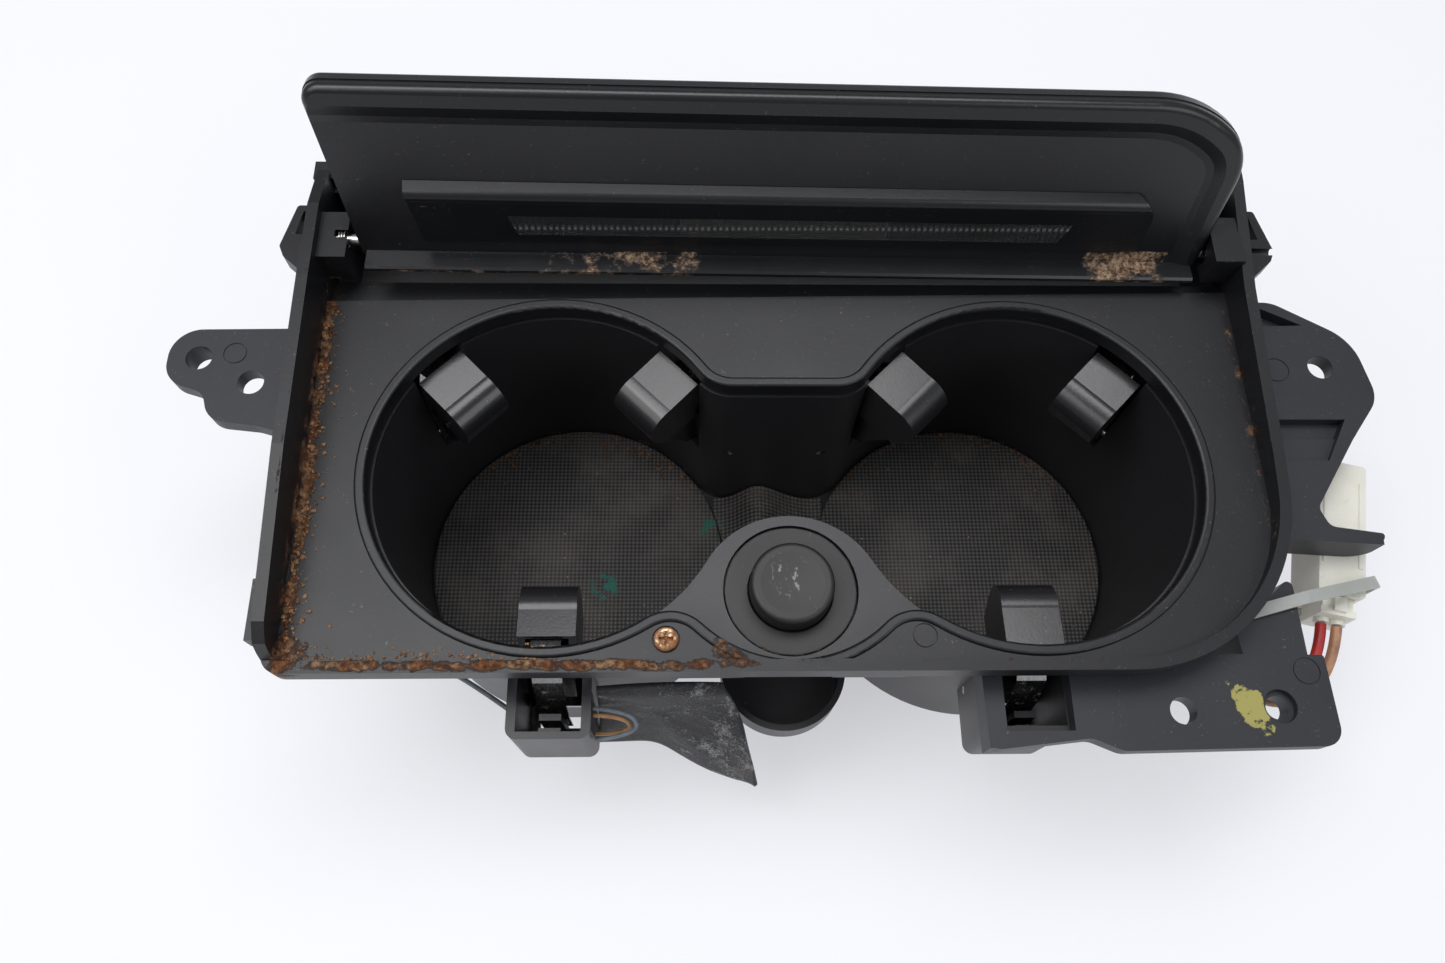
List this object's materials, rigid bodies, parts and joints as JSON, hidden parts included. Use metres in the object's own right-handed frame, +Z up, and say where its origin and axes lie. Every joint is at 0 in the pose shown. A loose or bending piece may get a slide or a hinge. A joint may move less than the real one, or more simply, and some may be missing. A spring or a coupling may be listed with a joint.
{
  "type": "vehicle console cup holder",
  "caption": "Twin-well cup holder tray for a vehicle console, with sprung cup grippers, a lighter socket between the wells and a hinged flap that carries a strip lamp.",
  "frame": {"origin": "middle of the housing's flat underside, midway between the two well axes", "axes": "+X to the right along the pair of wells, +Y to the hinged flap at the back, +Z up out of the wells"},
  "size_m": [0.3532, 0.1748, 0.1428],
  "materials": {
    "tray_plastic": "satin",
    "housing_plastic": "satin",
    "ring_plastic": "satin",
    "bracket_plastic": "satin",
    "lid_plastic": "satin",
    "gripper_plastic": "gloss",
    "knob_plastic": "satin",
    "mat_rubber": "matte",
    "plated_steel": "satin",
    "spring_steel": "satin",
    "screw_steel": "worn",
    "terminal_brass": "satin",
    "insulator": "matte",
    "clear_lens": "gloss",
    "bulb_glass": "gloss",
    "reflector": "satin",
    "connector_white": "satin",
    "wire_grey": "satin",
    "wire_tan": "satin",
    "tie_grey": "satin",
    "wire_red": "satin",
    "wire_brown": "satin",
    "felt": "matte"
  },
  "bodies": {
    "tray": {"tray_bezel": "tray_plastic", "well_housing": "housing_plastic", "mat_left": "mat_rubber", "mat_right": "mat_rubber", "mat_link": "mat_rubber", "socket_ring": "ring_plastic", "socket_barrel": "plated_steel", "socket_sleeve": "plated_steel", "socket_insulator": "insulator", "socket_terminals": "terminal_brass", "socket_shroud": "housing_plastic", "hinge_pins": "spring_steel", "lid_spring": "spring_steel", "left_ear": "bracket_plastic", "rear_right_bracket": "bracket_plastic", "front_right_bracket": "bracket_plastic", "bezel_screw": "screw_steel", "housing_screws": "screw_steel", "bracket_screws": "screw_steel", "connector_housing": "connector_white", "connector_plug": "connector_white", "loop_wire_grey": "wire_grey", "loop_wire_tan": "wire_tan", "left_cable": "wire_grey", "cable_tie": "tie_grey", "red_wire": "wire_red", "brown_wire": "wire_brown", "felt_flap": "felt", "gripper_pins": "spring_steel", "gripper_spring_left_front": "spring_steel", "gripper_spring_left_rear_right": "spring_steel", "gripper_spring_left_rear_left": "spring_steel", "gripper_spring_right_front": "spring_steel", "gripper_spring_right_rear_right": "spring_steel", "gripper_spring_right_rear_left": "spring_steel"},
    "lid": {"lid_skin": "lid_plastic", "lid_panel": "lid_plastic", "lid_lens": "clear_lens", "lamp_holder": "insulator", "lamp_reflector": "reflector", "lamp_bulb": "bulb_glass", "bulb_caps": "plated_steel"},
    "lighter": {"lighter_knob": "knob_plastic", "lighter_can": "plated_steel", "lighter_coil": "terminal_brass"},
    "gripper_left_front": {"gripper_left_front": "gripper_plastic"},
    "gripper_left_rear_right": {"gripper_left_rear_right": "gripper_plastic"},
    "gripper_left_rear_left": {"gripper_left_rear_left": "gripper_plastic"},
    "gripper_right_front": {"gripper_right_front": "gripper_plastic"},
    "gripper_right_rear_right": {"gripper_right_rear_right": "gripper_plastic"},
    "gripper_right_rear_left": {"gripper_right_rear_left": "gripper_plastic"}
  },
  "joints": [
    {"name": "lid_hinge", "type": "hinge", "parent": "tray", "child": "lid", "pos_m": [0, 0.06571, 0.09485], "axis": [0.9998, 0, -0.0175], "range_deg": [0, 110], "deforming": ["lid_spring"]},
    {"name": "lighter_pull", "type": "slide", "parent": "tray", "child": "lighter", "axis": [0, 0, 1], "range_m": [0, 0.032]},
    {"name": "gripper_left_front_hinge", "type": "hinge", "parent": "tray", "child": "gripper_left_front", "pos_m": [-0.0649, -0.0525, 0.0415], "axis": [1, 0, 0], "range_deg": [0, 20], "stiffness_Nm_per_rad": 0.06, "springref_deg": -8.59, "deforming": ["gripper_spring_left_front"]},
    {"name": "gripper_left_rear_right_hinge", "type": "hinge", "parent": "tray", "child": "gripper_left_rear_right", "pos_m": [-0.02778, 0.03712, 0.0415], "axis": [-0.7071, 0.7071, 0], "range_deg": [0, 20], "stiffness_Nm_per_rad": 0.06, "springref_deg": -8.59, "deforming": ["gripper_spring_left_rear_right"]},
    {"name": "gripper_left_rear_left_hinge", "type": "hinge", "parent": "tray", "child": "gripper_left_rear_left", "pos_m": [-0.10202, 0.03712, 0.0415], "axis": [-0.7071, -0.7071, 0], "range_deg": [0, 20], "stiffness_Nm_per_rad": 0.06, "springref_deg": -8.59, "deforming": ["gripper_spring_left_rear_left"]},
    {"name": "gripper_right_front_hinge", "type": "hinge", "parent": "tray", "child": "gripper_right_front", "pos_m": [0.0649, -0.0525, 0.0415], "axis": [1, 0, 0], "range_deg": [0, 20], "stiffness_Nm_per_rad": 0.06, "springref_deg": -8.59, "deforming": ["gripper_spring_right_front"]},
    {"name": "gripper_right_rear_right_hinge", "type": "hinge", "parent": "tray", "child": "gripper_right_rear_right", "pos_m": [0.10202, 0.03712, 0.0415], "axis": [-0.7071, 0.7071, 0], "range_deg": [0, 20], "stiffness_Nm_per_rad": 0.06, "springref_deg": -8.59, "deforming": ["gripper_spring_right_rear_right"]},
    {"name": "gripper_right_rear_left_hinge", "type": "hinge", "parent": "tray", "child": "gripper_right_rear_left", "pos_m": [0.02778, 0.03712, 0.0415], "axis": [-0.7071, -0.7071, 0], "range_deg": [0, 20], "stiffness_Nm_per_rad": 0.06, "springref_deg": -8.59, "deforming": ["gripper_spring_right_rear_left"]}
  ]
}
